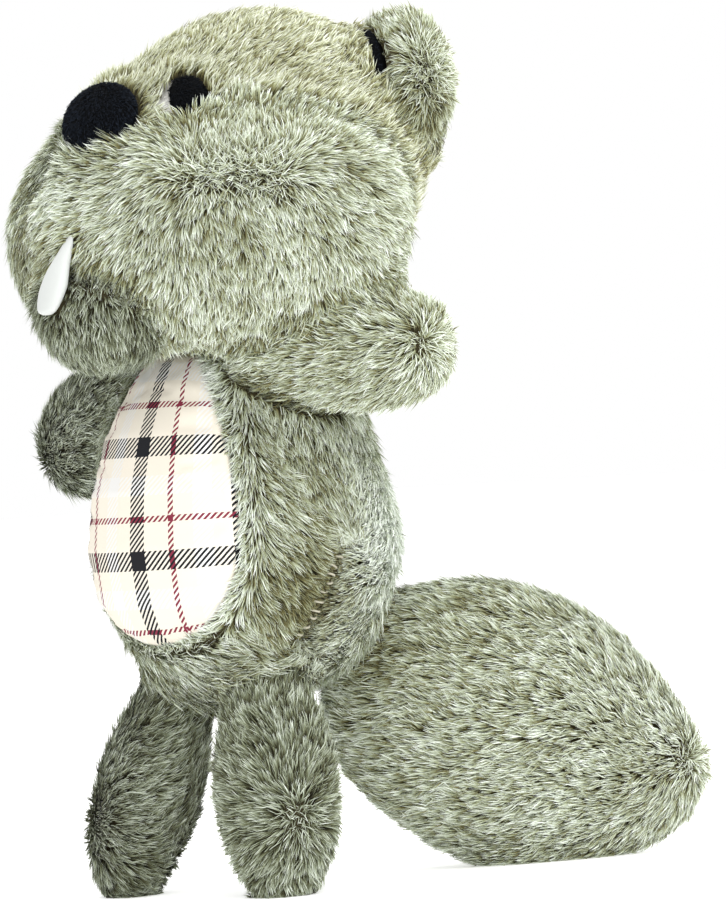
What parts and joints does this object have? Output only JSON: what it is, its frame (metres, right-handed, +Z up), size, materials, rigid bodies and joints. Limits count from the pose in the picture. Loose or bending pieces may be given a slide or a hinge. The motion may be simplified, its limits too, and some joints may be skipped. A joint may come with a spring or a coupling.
{
  "type": "plush beaver dog toy",
  "caption": "Standing plush beaver for a dog to carry and chew: stuffed furred body with big cheeks, a soft front tooth, a cloth belly and a broad tail that it leans back on.",
  "frame": {"origin": "on the floor, under the middle of the whole toy's bounding box", "axes": "+Z up, -Y the way the face looks, +X the toy's own left side, where the tail swings to"},
  "size_m": [0.1678, 0.2088, 0.2746],
  "materials": {
    "fur": "long soft pile, grey-green with pale tips and dark olive roots",
    "black_pile": "short black pile",
    "lining": "short black velour",
    "white_felt": "matte white felt",
    "tooth_cloth": "smooth white cloth",
    "check_cloth": "woven twill with a check in cream, charcoal, wine and white",
    "squeaker_plastic": "thin pale moulded plastic"
  },
  "bodies": {
    "root": {"torso": "fur", "head": "fur", "muzzle": "fur", "chin": "fur", "ear_left": "fur", "ear_right": "fur", "arm_left": "fur", "arm_right": "fur", "leg_left": "fur", "leg_right": "fur", "tail": "fur", "nose": "black_pile", "eye_pupil_left": "black_pile", "eye_pupil_right": "black_pile", "ear_lining_left": "lining", "ear_lining_right": "lining", "eye_white_left": "white_felt", "eye_white_right": "white_felt", "tooth": "tooth_cloth", "belly_panel": "check_cloth", "squeaker_bulb": "squeaker_plastic", "squeaker_reed": "squeaker_plastic"}
  },
  "joints": []
}
